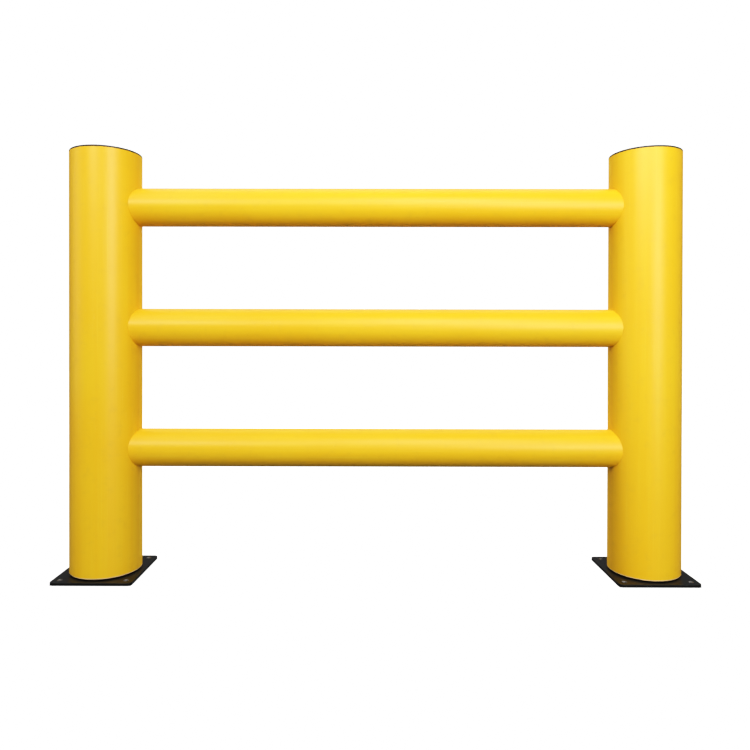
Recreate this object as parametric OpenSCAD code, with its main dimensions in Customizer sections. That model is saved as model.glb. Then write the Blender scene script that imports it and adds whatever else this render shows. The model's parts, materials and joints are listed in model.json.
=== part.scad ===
// Warehouse safety railing: one bay of a three-rail impact barrier.
// Two thick round posts stand over steel base sleeves, and three round rails
// plug into the inner side of each post, where a hidden rod locks them.
// Origin: on the floor, midway between the posts. +X runs along the rails, +Z is up.

/* [Overall] */
// Distance between the axes of the two posts
post_spacing = 1580; // [600:10:2400]
// Height from the floor to the top of the post caps
overall_h = 1225; // [1000:5:1500]

/* [Posts] */
// Outside diameter of a post tube
post_d = 200; // [160:1:250]
// Wall of a post tube
post_wall = 10; // [5:0.5:14]
// Bevel on the lower edge of a post tube
post_bevel = 2; // [0.5:0.5:4]

/* [Rails] */
// Outside diameter of a rail tube
rail_d = 110; // [70:1:132]
// Wall of a rail tube
rail_wall = 7; // [4:0.5:10]
// Height of the bottom rail's axis above the floor
rail_low_z = 366; // [300:1:450]
// Distance from the top of the caps down to the top rail's axis
rail_top_drop = 155; // [135:1:220]
// Radial clearance of a rail in its hole in the post
rail_fit = 0.5; // [0.2:0.1:0.9]
// Space between a rail's end and the far wall of the post
rail_end_gap = 8; // [4:1:14]

/* [Base plates] */
// How far a base plate reaches beyond the post on each side
plate_margin = 15; // [10:1:60]
// Thickness of a base plate
plate_t = 8; // [6:0.5:20]
// Radius of a base plate's corners
plate_corner_r = 12; // [2:1:20]
// Diameter of an anchor hole
anchor_d = 14; // [10:0.5:16]
// Distance from an anchor hole's centre to the two nearest plate edges
anchor_inset = 22; // [18:1:24]
// Bevel on the upper edge of an anchor hole
anchor_bevel = 1; // [0.5:0.5:2]

/* [Base sleeves] */
// Height of a base sleeve above its plate
sleeve_h = 180; // [60:5:220]
// Wall of a base sleeve
sleeve_wall = 6; // [3:0.5:10]
// Radial clearance between a base sleeve and its post tube
sleeve_fit = 0.3; // [0.2:0.1:0.9]
// Leg length of the fillet weld at a base sleeve's foot
weld_leg = 3; // [2:0.5:6]

/* [Post caps] */
// Thickness of the cap's rim, which shows above the tube
cap_rim_t = 4.5; // [3:0.5:8]
// Depth of the cap's skirt inside the tube
cap_skirt_h = 35; // [15:1:60]
// Wall of the cap's skirt
cap_skirt_t = 3; // [2:0.5:5]
// Radial clearance of the cap's skirt in the tube
cap_fit = 0.3; // [0.1:0.1:0.9]
// Radius of the rim's upper edge
cap_edge_r = 2; // [1:0.5:2.5]
// Width of the raised border round the cap's top
cap_border_w = 14; // [8:1:30]
// Depth of the shallow dish inside that border
cap_dish = 1.2; // [0.5:0.1:1.5]
// Number of stiffening ribs under the cap
cap_ribs = 8; // [4:1:12]

/* [Lock rods] */
// Diameter of the rod that locks the rails in a post
rod_d = 20; // [12:1:26]
// Radial clearance of the rod in the rails' cross holes
rod_fit = 0.5; // [0.2:0.1:0.9]
// Length of rod below the bottom rail
rod_tail = 30; // [15:1:40]
// Diameter of the rod's head
rod_head_d = 40; // [32:1:60]
// Thickness of the rod's head
rod_head_t = 6; // [4:0.5:12]

/* [Hidden] */

yellow = [0.95, 0.77, 0.10];
black = [0.08, 0.08, 0.09];
zinc = [0.72, 0.73, 0.75];

cut = 1;                  // how far a cutting shape runs past the face it cuts
seat_gap = 0.3;           // running space between the rod's head and the top rail
rod_tip = 3;              // bevel at the rod's lower end
rib_t = 2.5;              // thickness of a cap rib
hub_r = 8;                // radius of the hub where the cap ribs meet

post_r = post_d / 2;
post_ri = post_r - post_wall;
post_z0 = plate_t + weld_leg;
post_z1 = overall_h - cap_rim_t;

rail_r = rail_d / 2;
rail_top_z = overall_h - rail_top_drop;
rail_z = [rail_low_z, (rail_low_z + rail_top_z) / 2, rail_top_z];
rail_reach = sqrt(pow(post_ri, 2) - pow(rail_r, 2)) - rail_end_gap;
rail_len = post_spacing + 2 * rail_reach;

plate_w = post_d + 2 * plate_margin;
anchor_at = plate_w / 2 - anchor_inset;

sleeve_r = post_ri - sleeve_fit;

rod_z0 = rail_low_z - rail_r - rod_tail;
rod_z1 = rail_top_z + rail_r + seat_gap;

$fn = 96;

// Places its children at a post: side is -1 for the left one and 1 for the right one,
// and what faces +X in the child faces the other post.
module at_post(side) {
    translate([side * post_spacing / 2, 0, 0])
        mirror([side > 0 ? 1 : 0, 0, 0])
            children();
}

// Square plate with round corners, standing on the floor
module rounded_plate(width, thickness, corner_r) {
    inner = width - 2 * corner_r;
    linear_extrude(thickness)
        union() {
            square([inner, width], center = true);
            square([width, inner], center = true);
            for (x = [-1, 1], y = [-1, 1])
                translate([x * inner / 2, y * inner / 2])
                    circle(r = corner_r, $fn = 48);
        }
}

// Upright drilled hole with a bevelled upper edge
module anchor_hole() {
    hole_r = anchor_d / 2;
    translate([0, 0, -cut])
        cylinder(r = hole_r, h = plate_t + 2 * cut, $fn = 48);
    translate([0, 0, plate_t - anchor_bevel])
        cylinder(r1 = hole_r, r2 = hole_r + anchor_bevel + cut, h = anchor_bevel + cut, $fn = 48);
}

module base_plate(side) {
    color(black)
        at_post(side)
            difference() {
                rounded_plate(plate_w, plate_t, plate_corner_r);
                for (x = [-1, 1], y = [-1, 1])
                    translate([x * anchor_at, y * anchor_at, 0])
                        anchor_hole();
            }
}

// Steel tube that stands on the plate inside the post
module base_sleeve(side) {
    color(black)
        at_post(side)
            translate([0, 0, plate_t])
                difference() {
                    cylinder(r = sleeve_r, h = sleeve_h);
                    translate([0, 0, -cut])
                        cylinder(r = sleeve_r - sleeve_wall, h = sleeve_h + 2 * cut);
                }
}

// Fillet weld round the sleeve's foot; the post tube stands over it
module base_weld(side) {
    color(black)
        at_post(side)
            translate([0, 0, plate_t])
                rotate_extrude()
                    polygon([
                        [sleeve_r, 0],
                        [sleeve_r + weld_leg, 0],
                        [sleeve_r, weld_leg],
                    ]);
}

// Round hole for a rail, from the post's axis out through the wall that faces the other post
module rail_hole(z) {
    translate([0, 0, z])
        rotate([0, 90, 0])
            cylinder(r = rail_r + rail_fit, h = post_r + cut);
}

module post(side) {
    color(yellow)
        at_post(side)
            difference() {
                rotate_extrude()
                    polygon([
                        [post_ri, post_z0],
                        [post_r - post_bevel, post_z0],
                        [post_r, post_z0 + post_bevel],
                        [post_r, post_z1],
                        [post_ri, post_z1],
                    ]);
                for (z = rail_z)
                    rail_hole(z);
            }
}

// Upper edge of the cap's rim, as a quarter round
function edge_arc(r, z, radius, steps) = [
    for (i = [0:steps])
        let (a = 90 * i / steps)
            [r - radius + radius * cos(a), z - radius + radius * sin(a)]
];

// Turned part of a post cap: rim, dished top and skirt
module cap_shell() {
    skirt_r = post_ri - cap_fit;
    dish_r = post_r - cap_border_w;
    rotate_extrude()
        polygon(concat(
            [[0, post_z1], [skirt_r - cap_skirt_t, post_z1]],
            [[skirt_r - cap_skirt_t, post_z1 - cap_skirt_h], [skirt_r, post_z1 - cap_skirt_h]],
            [[skirt_r, post_z1], [post_r, post_z1]],
            edge_arc(post_r, overall_h, cap_edge_r, 6),
            [[dish_r, overall_h], [dish_r - cap_dish, overall_h - cap_dish], [0, overall_h - cap_dish]]
        ));
}

// Ribs that run from the hub to the skirt, half as deep as the skirt
module cap_rib_star() {
    rib_h = cap_skirt_h / 2;
    rib_len = post_ri - cap_fit - cap_skirt_t / 2;
    translate([0, 0, post_z1 - rib_h]) {
        cylinder(r = hub_r, h = rib_h, $fn = 48);
        for (i = [0:cap_ribs - 1])
            rotate([0, 0, 360 * i / cap_ribs])
                translate([0, -rib_t / 2, 0])
                    cube([rib_len, rib_t, rib_h]);
    }
}

module post_cap(side) {
    color(black)
        at_post(side)
            union() {
                cap_shell();
                cap_rib_star();
            }
}

// One rail: a tube with a cross hole over each post's axis for the lock rod
module rail(z) {
    color(yellow)
        translate([0, 0, z])
            difference() {
                rotate([0, 90, 0])
                    cylinder(r = rail_r, h = rail_len, center = true);
                rotate([0, 90, 0])
                    cylinder(r = rail_r - rail_wall, h = rail_len + 2 * cut, center = true);
                for (side = [-1, 1])
                    translate([side * post_spacing / 2, 0, -rail_r - cut])
                        cylinder(r = rod_d / 2 + rod_fit, h = rail_d + 2 * cut, $fn = 48);
            }
}

// Rod that drops through the ends of all three rails and hangs from its head on the top one
module lock_rod(side) {
    rod_r = rod_d / 2;
    color(zinc)
        at_post(side)
            rotate_extrude($fn = 48)
                polygon([
                    [0, rod_z0],
                    [rod_r - rod_tip, rod_z0],
                    [rod_r, rod_z0 + rod_tip],
                    [rod_r, rod_z1],
                    [rod_head_d / 2, rod_z1],
                    [rod_head_d / 2, rod_z1 + rod_head_t],
                    [0, rod_z1 + rod_head_t],
                ]);
}

base_plate(-1);  // left_base_plate
base_plate(1);  // right_base_plate
base_sleeve(-1);  // left_base_sleeve
base_sleeve(1);  // right_base_sleeve
base_weld(-1);  // left_base_weld
base_weld(1);  // right_base_weld
post(-1);  // left_post
post(1);  // right_post
post_cap(-1);  // left_post_cap
post_cap(1);  // right_post_cap
rail(rail_z[2]);  // top_rail
rail(rail_z[1]);  // middle_rail
rail(rail_z[0]);  // bottom_rail
lock_rod(-1);  // left_lock_rod
lock_rod(1);  // right_lock_rod
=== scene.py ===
import json
import math
import bpy
import bmesh
from mathutils import Matrix, Vector


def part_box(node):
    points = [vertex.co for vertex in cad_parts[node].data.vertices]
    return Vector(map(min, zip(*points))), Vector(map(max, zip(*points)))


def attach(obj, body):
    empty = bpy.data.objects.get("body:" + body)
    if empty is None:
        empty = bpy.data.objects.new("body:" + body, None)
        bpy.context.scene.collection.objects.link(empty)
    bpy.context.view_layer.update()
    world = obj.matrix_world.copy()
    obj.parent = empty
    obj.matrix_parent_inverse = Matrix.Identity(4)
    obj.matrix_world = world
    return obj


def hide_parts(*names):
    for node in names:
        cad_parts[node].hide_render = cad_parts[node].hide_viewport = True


# Warehouse safety railing: finishes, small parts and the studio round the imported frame.

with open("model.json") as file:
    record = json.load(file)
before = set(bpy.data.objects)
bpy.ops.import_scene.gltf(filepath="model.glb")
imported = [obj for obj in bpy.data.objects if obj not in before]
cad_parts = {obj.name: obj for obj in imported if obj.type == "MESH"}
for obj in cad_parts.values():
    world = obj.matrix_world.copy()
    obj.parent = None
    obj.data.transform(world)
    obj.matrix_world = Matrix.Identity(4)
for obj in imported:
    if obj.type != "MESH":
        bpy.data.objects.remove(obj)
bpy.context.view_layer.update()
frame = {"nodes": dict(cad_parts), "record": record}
scene = bpy.context.scene
nodes = frame["nodes"]
mm = 0.001
mergeGap = 0.001 * mm

# places taken from the frame
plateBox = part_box("left_base_plate")
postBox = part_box("left_post")
postX = abs((postBox[0].x + postBox[1].x) / 2)  # from the middle of the bay to a post's axis
sides = ("left", "right")


def mountOf(name):
    return next(m for m in frame["record"]["mounts"] if m["name"] == name)


anchorDims = mountOf("left_anchor_holes")["dims"]
anchorAt = anchorDims["spacing_x_mm"] / 2 * mm  # hole centre to post axis, each way
anchorRadius = anchorDims["hole_r_mm"] * mm


# shader writing

class Sock:  # one output socket, so that shader maths reads as maths
    def __init__(self, shader, output):
        self.shader = shader
        self.output = output

    def maths(self, operation, a, b=0.0):
        return self.shader.node("ShaderNodeMath", {"operation": operation}, {0: a, 1: b})

    def __add__(self, other):
        return self.maths("ADD", self, other)

    def __sub__(self, other):
        return self.maths("SUBTRACT", self, other)

    def __rsub__(self, other):
        return self.maths("SUBTRACT", other, self)

    def __mul__(self, other):
        return self.maths("MULTIPLY", self, other)

    def __abs__(self):
        return self.maths("ABSOLUTE", self)

    __radd__ = __add__
    __rmul__ = __mul__

    def most(self, other):
        return self.maths("MAXIMUM", self, other)

    def root(self):
        return self.maths("SQRT", self)

    def band(self, start, end, low=0.0, high=1.0):  # smooth step from low at start to high at end
        limits = {"From Min": start, "From Max": end, "To Min": low, "To Max": high}
        return self.shader.node("ShaderNodeMapRange", {"interpolation_type": "SMOOTHSTEP"},
                                {"Value": self, **limits})


class Shader:  # one material and its node tree
    def __init__(self, name, surface):
        self.material = bpy.data.materials.new(name)
        self.material.use_nodes = True
        self.surface = surface
        self.start(self.material.node_tree, "Object")

    def start(self, tree, coords):
        self.tree = tree
        self.tree.nodes.clear()
        self.coords = self.node("ShaderNodeTexCoord", {}, {}, coords)

    @classmethod
    def inTree(cls, tree):  # for the world, whose Generated coordinates are directions
        shader = cls.__new__(cls)
        shader.start(tree, "Generated")
        return shader

    def node(self, kind, settings, inputs, out=0):
        made = self.tree.nodes.new(kind)
        for key, value in settings.items():
            setattr(made, key, value)
        for key, value in inputs.items():
            socket = made.inputs[key]
            if isinstance(value, Sock):
                self.tree.links.new(value.output, socket)
            else:
                socket.default_value = value
        return None if out is None else Sock(self, made.outputs[out])

    def axes(self):  # x, y and z of the coordinates
        first = self.node("ShaderNodeSeparateXYZ", {}, {"Vector": self.coords})
        return [Sock(self, output) for output in first.output.node.outputs]

    def stretched(self, scale, shift=(0.0, 0.0, 0.0)):  # the coordinates, squeezed and moved
        inputs = {"Vector": self.coords, "Scale": scale, "Location": shift}
        return self.node("ShaderNodeMapping", {}, inputs)

    def noise(self, vector, scale, detail=2.0, rough=0.5):
        inputs = {"Vector": vector, "Scale": scale, "Detail": detail, "Roughness": rough}
        return self.node("ShaderNodeTexNoise", {}, inputs)

    def cells(self, vector, scale):
        return self.node("ShaderNodeTexVoronoi", {}, {"Vector": vector, "Scale": scale}, "Distance")

    def blend(self, amount, first, second):  # mixes two colours
        return self.node("ShaderNodeMix", {"data_type": "RGBA"}, {0: amount, 6: first, 7: second}, 2)

    def bump(self, height, depth, strength=1.0, under=None):
        inputs = {"Height": height, "Distance": depth, "Strength": strength}
        if under is not None:
            inputs["Normal"] = under
        return self.node("ShaderNodeBump", {}, inputs)

    def finish(self, **links):  # fixed values come from the dictionary, varying ones from links
        inputs = dict(self.surface)
        inputs.update({key.replace("_", " "): value for key, value in links.items()})
        principled = self.node("ShaderNodeBsdfPrincipled", {}, inputs)
        self.node("ShaderNodeOutputMaterial", {}, {"Surface": principled}, None)
        return self.material


# yellow polymer tubes

tubeLook = {
    "surface": {"IOR": 1.5, "Specular IOR Level": 0.4},
    "colour": (0.85, 0.505, 0.020, 1.0),
    "deep": (0.84, 0.450, 0.012, 1.0),  # pigment that ran thicker
    "pale": (0.87, 0.560, 0.045, 1.0),
    "cutEdgeAndHighlight": (0.90, 0.66, 0.38, 1.0),  # sawn and bevelled tube end, paler, with a painted highlight where the chamfer catches light
    "scuffed": (0.88, 0.60, 0.16, 1.0),
    "grime": (0.62, 0.36, 0.03, 1.0),
    # noise patterns: scale, detail, roughness
    "drawn": 0.010,  # squeezes the coordinate along the tube, so that lines run far
    "lines": (260.0, 3.0, 0.6), "fineLines": (1100.0,), "streaks": (60.0,),
    "drift": (2.4, 3.0), "mottle": (38.0, 4.0, 0.6), "grain": (1300.0,), "rubbed": (5.0, 3.0),
    "specks": 210.0,  # dark flecks in the plastic
    # scuffs: how a noise is squeezed and moved
    "acrossScuffs": ((26.0, 420.0, 700.0), (3.1, 0.7, 1.9)),
    "uprightScuffs": ((620.0, 480.0, 22.0), (0.4, 5.1, 2.2)),
    # where each pattern shows: from, to, and how much at each
    "driftShows": (0.35, 0.7, 0.0, 0.8), "streaksShow": (0.35, 0.7, 0.0, 0.5),
    "linesShow": (0.55, 0.8, 0.0, 0.5), "mottleShows": (0.5, 0.8, 0.0, 0.22),
    "specksShow": (0.035, 0.075, 1.0, 0.0), "rubbedShows": (0.50, 0.70),
    "acrossShows": (0.66, 0.74), "uprightShows": (0.68, 0.75),
    "speckGrime": 0.35, "scuffColour": 0.45,
    "cutFrom": 2.6 * mm, "cutTo": 4.6 * mm, "cutShows": 0.85,
    "roughness": 0.35, "roughLines": 0.06, "roughMottle": 0.06, "roughScuffs": 0.16,
    "lineDepth": 0.045 * mm,  # die lines left by extrusion
    "fineDepth": 0.012 * mm, "grainDepth": 0.012 * mm,
    "scuffDepth": 0.03 * mm, "scuffBump": 0.8,
}


def tubeMaterial(name, along):
    look = tubeLook
    shader = Shader(name, look["surface"])
    squash = [1.0, 1.0, 1.0]
    squash["XYZ".index(along)] = look["drawn"]
    drawn = shader.stretched(tuple(squash))
    lines = shader.noise(drawn, *look["lines"])
    fineLines = shader.noise(drawn, *look["fineLines"])
    streaks = shader.noise(drawn, *look["streaks"])
    drift = shader.noise(shader.coords, *look["drift"])
    mottle = shader.noise(shader.coords, *look["mottle"])
    grain = shader.noise(shader.coords, *look["grain"])
    specks = shader.cells(shader.coords, look["specks"]).band(*look["specksShow"])
    rubbed = shader.noise(shader.coords, *look["rubbed"]).band(*look["rubbedShows"])
    across = shader.noise(shader.stretched(*look["acrossScuffs"]), 1.0).band(*look["acrossShows"])
    upright = shader.noise(shader.stretched(*look["uprightScuffs"]), 1.0).band(*look["uprightShows"])
    scuffs = across.most(upright) * rubbed
    colour = shader.blend(drift.band(*look["driftShows"]), look["colour"], look["deep"])
    colour = shader.blend(streaks.band(*look["streaksShow"]), colour, look["deep"])
    colour = shader.blend(lines.band(*look["linesShow"]), colour, look["pale"])
    colour = shader.blend(mottle.band(*look["mottleShows"]), colour, look["grime"])
    colour = shader.blend(specks * look["speckGrime"], colour, look["grime"])
    colour = shader.blend(scuffs * look["scuffColour"], colour, look["scuffed"])
    if along == "Z":  # only the posts show a sawn end, at their feet: a pale band of the cut colour and a painted highlight on the chamfer
        height = shader.axes()[2] - postBox[0].z
        cutAndHighlight = height.band(look["cutFrom"], look["cutTo"], look["cutShows"], 0.0)
        colour = shader.blend(cutAndHighlight, colour, look["cutEdgeAndHighlight"])
    roughness = look["roughness"] + lines * look["roughLines"] + mottle * look["roughMottle"]
    roughness = roughness + scuffs * look["roughScuffs"]
    normal = shader.bump(lines, look["lineDepth"])
    normal = shader.bump(fineLines, look["fineDepth"], 1.0, normal)
    normal = shader.bump(grain, look["grainDepth"], 1.0, normal)
    normal = shader.bump(scuffs, look["scuffDepth"], look["scuffBump"], normal)
    return shader.finish(Base_Color=colour, Roughness=roughness, Normal=normal)


# black powder coated steel

coatLook = {
    "surface": {"IOR": 1.5, "Specular IOR Level": 0.28},
    "colour": (0.006, 0.006, 0.006, 1.0),
    "dusty": (0.016, 0.015, 0.014, 1.0),
    "bareSteel": (0.36, 0.34, 0.32, 1.0),
    "peel": (330.0,), "dust": (60.0, 5.0, 0.65), "wear": (800.0, 3.0),  # scale, detail, roughness
    "dustShows": (0.45, 0.75), "dustColour": 0.5,
    "wearReach": 0.3 * mm, "bareTo": 0.25 * mm, "coatFrom": 0.7 * mm,  # out from a hole's wall
    "roughness": 0.34, "roughDust": 0.10, "roughBare": 0.18,
    "peelDepth": 0.045 * mm,
}


def holeDistance(shader):  # how far a point is from the nearest anchor hole's axis
    x, y = shader.axes()[:2]
    across = abs(abs(abs(x) - postX) - anchorAt)
    ahead = abs(abs(y) - anchorAt)
    return (across * across + ahead * ahead).root()


def coatMaterial():
    look = coatLook
    shader = Shader("blackCoat", look["surface"])
    peel = shader.noise(shader.coords, *look["peel"])
    dust = shader.noise(shader.coords, *look["dust"]).band(*look["dustShows"])
    wear = shader.noise(shader.coords, *look["wear"])
    fromHole = holeDistance(shader) + wear * look["wearReach"]
    bare = 1.0 - fromHole.band(anchorRadius + look["bareTo"], anchorRadius + look["coatFrom"])
    colour = shader.blend(dust * look["dustColour"], look["colour"], look["dusty"])
    colour = shader.blend(bare, colour, look["bareSteel"])
    roughness = look["roughness"] + dust * look["roughDust"] + bare * look["roughBare"]
    normal = shader.bump(peel, look["peelDepth"])
    return shader.finish(Base_Color=colour, Roughness=roughness, Metallic=bare, Normal=normal)


# moulded black caps

capLook = {
    "surface": {"IOR": 1.48, "Specular IOR Level": 0.5},
    "colour": (0.016, 0.016, 0.016, 1.0),
    "worn": (0.028, 0.028, 0.028, 1.0),
    "grain": 620.0,
    "cloud": (24.0, 4.0, 0.6), "cloudShows": (0.4, 0.75), "cloudColour": 0.3,
    "roughness": 0.48, "roughCloud": 0.05,
    "grainDepth": 0.09 * mm, "grainBump": 0.8,
}


def capMaterial():
    look = capLook
    shader = Shader("blackMoulding", look["surface"])
    grain = shader.cells(shader.coords, look["grain"])
    cloud = shader.noise(shader.coords, *look["cloud"]).band(*look["cloudShows"])
    colour = shader.blend(cloud * look["cloudColour"], look["colour"], look["worn"])
    roughness = look["roughness"] + cloud * look["roughCloud"]
    normal = shader.bump(grain, look["grainDepth"], look["grainBump"])
    return shader.finish(Base_Color=colour, Roughness=roughness, Normal=normal)


# zinc plated rods

rodLook = {
    "surface": {"Metallic": 1.0},
    "colour": (0.55, 0.56, 0.58, 1.0),
    "dull": (0.42, 0.43, 0.45, 1.0),
    "spangle": 240.0, "spangleShows": (0.2, 0.9),
    "drawn": 900.0, "drawnAlong": (1.0, 1.0, 0.02),
    "roughness": 0.34, "roughDrawn": 0.12,
    "drawnDepth": 0.01 * mm,
}


def rodMaterial():
    look = rodLook
    shader = Shader("zincPlate", look["surface"])
    spangle = shader.cells(shader.coords, look["spangle"])
    drawn = shader.noise(shader.stretched(look["drawnAlong"]), look["drawn"])
    colour = shader.blend(spangle.band(*look["spangleShows"]), look["colour"], look["dull"])
    roughness = look["roughness"] + drawn * look["roughDrawn"]
    normal = shader.bump(drawn, look["drawnDepth"])
    return shader.finish(Base_Color=colour, Roughness=roughness, Normal=normal)


postYellow = tubeMaterial("postYellow", "Z")
railYellow = tubeMaterial("railYellow", "X")
blackCoat = coatMaterial()
blackMoulding = capMaterial()
zincPlate = rodMaterial()

cadFinish = {
    "left_post": postYellow, "right_post": postYellow,
    "top_rail": railYellow, "middle_rail": railYellow, "bottom_rail": railYellow,
    "left_base_sleeve": blackCoat, "right_base_sleeve": blackCoat,
    "left_lock_rod": zincPlate, "right_lock_rod": zincPlate,
}
for nodeName, material in cadFinish.items():
    nodes[nodeName].material_slots[0].material = material
print("finishes on", len(cadFinish), "frame nodes")


# new pieces

def makePiece(name, bm, material, replaced):
    bmesh.ops.remove_doubles(bm, verts=bm.verts, dist=mergeGap)
    bmesh.ops.recalc_face_normals(bm, faces=bm.faces)
    mesh = bpy.data.meshes.new(name)
    bm.to_mesh(mesh)
    bm.free()
    mesh.materials.append(material)
    piece = bpy.data.objects.new(name, mesh)
    scene.collection.objects.link(piece)
    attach(piece, "root")
    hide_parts(replaced)
    return piece


plateDetail = {
    "cornerRadius": 12 * mm, "cornerSegments": 10,
    "holeSegments": 40,
    "edgeBevel": 0.9 * mm, "bevelSegments": 3,
    "rimAngle": 60,  # degrees between the faces at an edge that takes the bevel
    "cuts": 6,  # along each quarter's straight edges
    "flat": 0.999,  # upward part of a flat face's normal
}


def basePlate(side):
    d = plateDetail
    low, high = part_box(side + "_base_plate")
    middle = (low + high) / 2
    width = high.x - low.x
    bm = bmesh.new()
    bmesh.ops.create_grid(bm, x_segments=2, y_segments=2, size=width / 2)
    corners = [v for v in bm.verts if len(v.link_edges) == 2]
    bmesh.ops.bevel(bm, geom=corners, offset=d["cornerRadius"], offset_type="OFFSET",
                    affect="VERTICES", segments=d["cornerSegments"], profile=0.5, material=-1)
    straight = [e for e in bm.edges if e.calc_length() > d["cornerRadius"]]
    bmesh.ops.subdivide_edges(bm, edges=straight, cuts=d["cuts"])
    for quarter in list(bm.faces):
        outline = list(quarter.edges)
        centre = quarter.calc_center_bounds()
        hole = Vector((math.copysign(anchorAt, centre.x), math.copysign(anchorAt, centre.y), 0.0))
        bmesh.ops.delete(bm, geom=[quarter], context="FACES_ONLY")
        ring = bmesh.ops.create_circle(bm, cap_ends=False, radius=anchorRadius,
                                       segments=d["holeSegments"],
                                       matrix=Matrix.Translation(hole))
        ringEdges = list({e for v in ring["verts"] for e in v.link_edges})
        bmesh.ops.bridge_loops(bm, edges=outline + ringEdges)
    raised = bmesh.ops.extrude_face_region(bm, geom=list(bm.faces))
    top = [g for g in raised["geom"] if isinstance(g, bmesh.types.BMVert)]
    bmesh.ops.translate(bm, verts=top, vec=(0, 0, high.z - low.z))
    bmesh.ops.recalc_face_normals(bm, faces=bm.faces)
    rimAngle = math.radians(d["rimAngle"])
    rims = [e for e in bm.edges if len(e.link_faces) == 2 and e.calc_face_angle() > rimAngle]
    bmesh.ops.bevel(bm, geom=rims, offset=d["edgeBevel"], offset_type="OFFSET", affect="EDGES",
                    segments=d["bevelSegments"], profile=0.5, material=-1, clamp_overlap=False)
    for face in bm.faces:
        face.smooth = abs(face.normal.z) < d["flat"]
    bmesh.ops.translate(bm, verts=bm.verts, vec=(middle.x, middle.y, low.z))
    return makePiece(side + "BasePlate", bm, blackCoat, side + "_base_plate")


weldDetail = {
    "ripples": 92, "steps": 368, "rise": 0.18 * mm,
    "lean": 6.0,  # radians each ripple turns as it climbs
    "faces": 5, "hollow": 0.97, "foot": 0.02 * mm,
}


def weldBead(side):
    d = weldDetail
    low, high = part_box(side + "_base_weld")
    leg = high.z - low.z
    outer = (high.x - low.x) / 2
    inner = outer - leg
    middle = (low + high) / 2
    bm = bmesh.new()
    profile = [bm.verts.new((inner, 0, low.z))]
    for i in range(d["faces"] + 1):  # a hollow fillet
        a = math.pi / 2 * i / d["faces"]
        r = outer - leg * math.sin(a) * d["hollow"]
        profile.append(bm.verts.new((r, 0, high.z - leg * math.cos(a) * d["hollow"])))
    loop = [bm.edges.new((profile[i - 1], profile[i])) for i in range(len(profile))]
    bmesh.ops.spin(bm, geom=profile + loop, cent=(0, 0, 0), axis=(0, 0, 1), angle=math.tau,
                   steps=d["steps"], use_merge=True)
    for vert in bm.verts:
        flat = Vector((vert.co.x, vert.co.y, 0))
        away = flat.length - inner
        if away > d["foot"] and vert.co.z > low.z + d["foot"]:
            turn = math.atan2(flat.y, flat.x)
            ripple = abs(math.sin(turn * d["ripples"] / 2 + d["lean"] * away / leg)) * d["rise"]
            vert.co += flat.normalized() * -ripple
    for face in bm.faces:
        face.smooth = True
    bmesh.ops.translate(bm, verts=bm.verts, vec=(middle.x, middle.y, 0))
    return makePiece(side + "BaseWeld", bm, blackCoat, side + "_base_weld")


capDetail = {
    "rim": 4.5 * mm, "edge": 1.2 * mm, "edgeSteps": 8,
    "seatBevel": 0.4 * mm,
    "border": 14 * mm,  # from the rim's outside to the dish
    "dish": 1.2 * mm, "lipRun": 0.9 * mm, "lipRise": 0.12 * mm, "flatInset": 2.0 * mm,
    "crown": 0.8 * mm, "crownSteps": 12,
    "gate": 4.0 * mm, "gateRise": 0.25 * mm, "gateBevel": 0.3 * mm,  # where the mould was filled
    "softEdge": 0.6 * mm, "softSteps": 5, "softTurn": 160,
    "skirtWall": 3.0 * mm, "clearance": 10.3 * mm,  # from the cap's outside to its skirt
    "steps": 128,
    "ribs": 8, "ribThick": 2.5 * mm, "ribDeep": 17.5 * mm, "ribStart": 8 * mm,
}


def arc(centreR, centreZ, radius, start, end, count):  # start and end in degrees
    turns = [math.radians(start + (end - start) * i / count) for i in range(count + 1)]
    return [(centreR + radius * math.cos(t), centreZ + radius * math.sin(t)) for t in turns]


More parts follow.
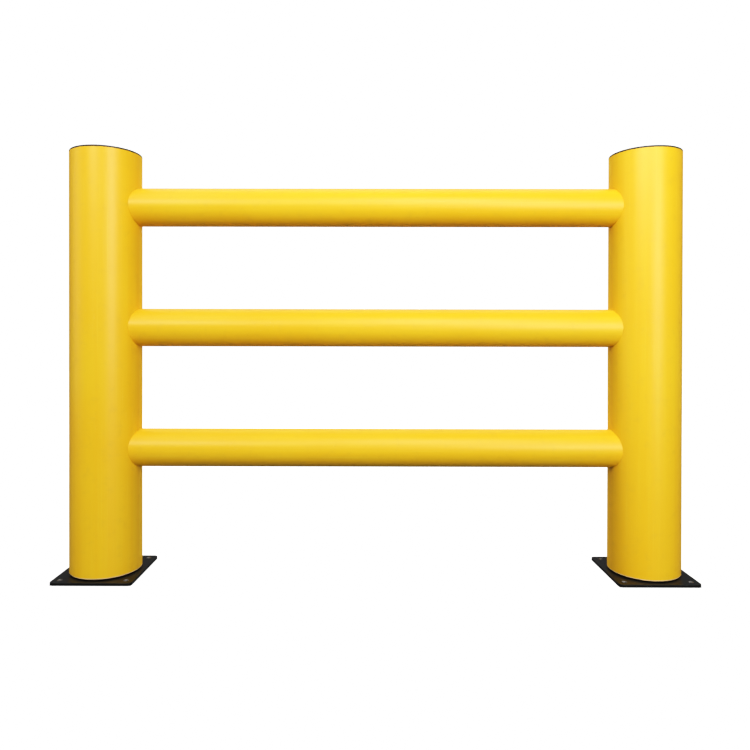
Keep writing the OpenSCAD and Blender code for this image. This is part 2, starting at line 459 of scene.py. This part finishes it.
def postCap(side):
    d = capDetail
    low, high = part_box(side + "_post_cap")
    middle = (low + high) / 2
    outer = (high.x - low.x) / 2
    seat = high.z - d["rim"]
    skirt = outer - d["clearance"]
    bore = skirt - d["skirtWall"]
    soft = d["softEdge"]
    dishEdge = outer - d["border"]
    dishZ = high.z - d["dish"]
    flatR = dishEdge - d["flatInset"]
    gateZ = dishZ + d["crown"]
    # radius and height, from the underside out over the skirt and the rim to the middle of the top
    outline = [(0, seat), (bore, seat), (bore, low.z)]
    outline += [(skirt - soft, low.z), (skirt, low.z + 2 * soft), (skirt, seat)]
    outline += [(outer - d["seatBevel"], seat), (outer, seat + d["seatBevel"])]
    outline += arc(outer - d["edge"], high.z - d["edge"], d["edge"], 0, 90, d["edgeSteps"])
    outline += arc(dishEdge + soft, high.z - soft, soft, 90, d["softTurn"], d["softSteps"])
    outline += [(dishEdge - d["lipRun"], dishZ + d["lipRise"]), (flatR, dishZ)]
    for i in range(1, d["crownSteps"]):
        r = flatR + (d["gate"] - flatR) * i / d["crownSteps"]
        outline.append((r, dishZ + d["crown"] * (1 - (r / flatR) ** 2)))
    outline += [(d["gate"], gateZ), (d["gate"] - d["gateBevel"], gateZ + d["gateRise"])]
    outline.append((0, gateZ + d["gateRise"]))
    bm = bmesh.new()
    verts = [bm.verts.new((r, 0, z)) for r, z in outline]
    edges = [bm.edges.new(pair) for pair in zip(verts, verts[1:])]
    bmesh.ops.spin(bm, geom=verts + edges, cent=(0, 0, 0), axis=(0, 0, 1), angle=math.tau,
                   steps=d["steps"], use_merge=True)
    for face in bm.faces:
        face.smooth = True
    reach = bore + d["skirtWall"] / 2 - d["ribStart"]
    ribMiddle = Matrix.Translation((d["ribStart"] + reach / 2, 0, seat - d["ribDeep"] / 2))
    ribSize = Matrix.Diagonal((reach, d["ribThick"], d["ribDeep"], 1))
    for i in range(d["ribs"]):
        turn = Matrix.Rotation(math.tau * i / d["ribs"], 4, "Z")
        bmesh.ops.create_cube(bm, size=1.0, matrix=turn @ ribMiddle @ ribSize)
    bmesh.ops.translate(bm, verts=bm.verts, vec=(middle.x, middle.y, 0))
    return makePiece(side + "PostCap", bm, blackMoulding, side + "_post_cap")


for side in sides:
    basePlate(side)
    weldBead(side)
    postCap(side)
print("made base plates, welds and caps")


# studio

floorLook = {
    "radius": 14.0, "segments": 96,
    "surface": {"Roughness": 0.9, "Specular IOR Level": 0.0, "Emission Strength": 1.45},
    "colour": (0.35, 0.35, 0.35, 1.0),
    "under": (0.0, 0.0, 0.0, 1.0),  # floor under the plates, seen down the anchor holes: made black as a painted shadow
    "nearGlow": (0.76, 0.76, 0.76, 1.0), "farGlow": (1.0, 1.0, 1.0, 1.0), "fade": (1.3, 3.0),
    "paintedShadowGlow": (0.07, 0.07, 0.07, 1.0), "paintedShadowEdge": (3 * mm, 1 * mm),  # dim glow of the painted shadow under the plates, and how far in from the plate's edge it fades
}


def makeFloor():
    look = floorLook
    shader = Shader("paleFloor", look["surface"])
    x, y = shader.axes()[:2]
    away = (x * x + y * y).root().band(*look["fade"])
    half = (plateBox[1].y - plateBox[0].y) / 2
    start, end = look["paintedShadowEdge"]
    # painted shadow over each plate's footprint: black colour and a dim glow in place of the shade
    # there
    under = 1.0 - abs(abs(x) - postX).most(abs(y)).band(half - start, half - end)
    colour = shader.blend(under, look["colour"], look["under"])
    glow = shader.blend(away, look["nearGlow"], look["farGlow"])
    glow = shader.blend(under, glow, look["paintedShadowGlow"])
    material = shader.finish(Base_Color=colour, Emission_Color=glow)
    bm = bmesh.new()
    bmesh.ops.create_circle(bm, cap_ends=True, radius=look["radius"], segments=look["segments"])
    mesh = bpy.data.meshes.new("floor")
    bm.to_mesh(mesh)
    bm.free()
    mesh.materials.append(material)
    floor = bpy.data.objects.new("floor", mesh)
    scene.collection.objects.link(floor)
    floor.visible_diffuse = False  # the floor throws no light up on the railing
    floor.visible_glossy = False


makeFloor()

lamps = {  # place, aim, width, height, watts
    "keyRight": ((1.8, -3.2, 1.35), (0.5, 0, 0.7), 1.5, 1.7, 78),
    "keyLeft": ((-1.8, -3.2, 2.6), (-0.5, 0, 0.7), 1.5, 0.9, 68),
    "near": ((0.4, -1.5, 1.9), (0.4, 0, 0.7), 1.0, 0.9, 22),
    "overheadLeft": ((-1.5, -0.9, 3.0), (-0.7, 0, 0.6), 1.3, 1.3, 11),
    "left": ((-3.2, -0.6, 1.4), (0, 0, 0.6), 1.4, 2.2, 15),
    "right": ((3.2, 0.4, 1.4), (0, 0, 0.6), 1.4, 2.2, 7),
    "top": ((0, 0.6, 3.2), (0, 0.2, 0.6), 3.2, 1.4, 14),
    "back": ((0, 4.5, 2.6), (0, 0, 0.6), 1.2, 1.6, 230),
}
noGlint = {"back", "right"}  # lamps that leave no reflection of their own


def makeLamp(name, place, aim, width, height, watts):
    data = bpy.data.lights.new(name, "AREA")
    data.shape = "RECTANGLE"
    data.size, data.size_y = width, height
    data.energy = watts
    lamp = bpy.data.objects.new(name, data)
    lamp.location = place
    lamp.rotation_euler = (Vector(aim) - Vector(place)).to_track_quat("-Z", "Y").to_euler()
    lamp.visible_camera = False
    lamp.visible_glossy = name not in noGlint
    scene.collection.objects.link(lamp)


for name, settings in lamps.items():
    makeLamp(name, *settings)

worldLook = {
    "fill": (0.16, 0.16, 0.16, 1.0),
    "dome": (0.96, 0.96, 0.96, 1.0),  # a dim dome behind and above
    "domeBack": (0.0, 0.6), "domeUp": (0.32, 0.70),  # where it fades in, as parts of a direction
    "backdrop": (1.0, 1.0, 1.0, 1.0), "backdropStrength": 1.45,
}


def makeWorld():
    look = worldLook
    world = bpy.data.worlds.new("studio")
    scene.world = world
    world.use_nodes = True
    shader = Shader.inTree(world.node_tree)
    y, z = shader.axes()[1:]
    dome = y.band(*look["domeBack"]) * z.band(*look["domeUp"])
    light = shader.blend(dome, look["fill"], look["dome"])
    fill = shader.node("ShaderNodeBackground", {}, {"Color": light, "Strength": 1.0})
    backdrop = shader.node("ShaderNodeBackground", {},
                           {"Color": look["backdrop"], "Strength": look["backdropStrength"]})
    seen = shader.node("ShaderNodeLightPath", {}, {}, "Is Camera Ray")
    mix = shader.node("ShaderNodeMixShader", {}, {0: seen, 1: fill, 2: backdrop})
    shader.node("ShaderNodeOutputWorld", {}, {"Surface": mix}, None)


makeWorld()

cameraLook = {
    "place": (-0.022, -1.867, 0.680),
    "tilt": -0.30, "lean": -0.11, "heading": 0.17,  # degrees from level and straight ahead
    "lens": 30.5, "sensor": 36.0, "shiftX": 0.0125, "shiftY": -0.0411,
    "reach": 60.0,
}


def makeCamera():
    look = cameraLook
    data = bpy.data.cameras.new("camera")
    data.lens, data.sensor_width = look["lens"], look["sensor"]
    data.shift_x, data.shift_y = look["shiftX"], look["shiftY"]
    data.clip_end = look["reach"]
    camera = bpy.data.objects.new("camera", data)
    camera.location = look["place"]
    turns = (90 + look["tilt"], look["lean"], look["heading"])
    camera.rotation_euler = [math.radians(turn) for turn in turns]
    scene.collection.objects.link(camera)
    scene.camera = camera


makeCamera()

toneLook = {  # light in the scene to light in the picture: deep blacks and a soft shoulder
    "white": 1.4,
    "curve": ((0.0, 0.0), (0.05, 0.03), (0.10, 0.072), (0.18, 0.15), (0.33, 0.32), (0.50, 0.50),
              (0.64, 0.62), (0.84, 0.76), (1.02, 0.86), (1.20, 0.94), (1.4, 1.0)),
}


def setTone():
    white = toneLook["white"]
    view = scene.view_settings
    view.view_transform = "Standard"
    view.use_curve_mapping = True
    mapping = view.curve_mapping
    mapping.white_level = (white, white, white)
    mapping.extend = "HORIZONTAL"
    points = mapping.curves[3].points
    first, *inner, last = toneLook["curve"]
    points[0].location = first
    points[1].location = (last[0] / white, last[1])
    for light, shown in inner:
        points.new(light / white, shown)
    mapping.update()


setTone()
print("studio ready")
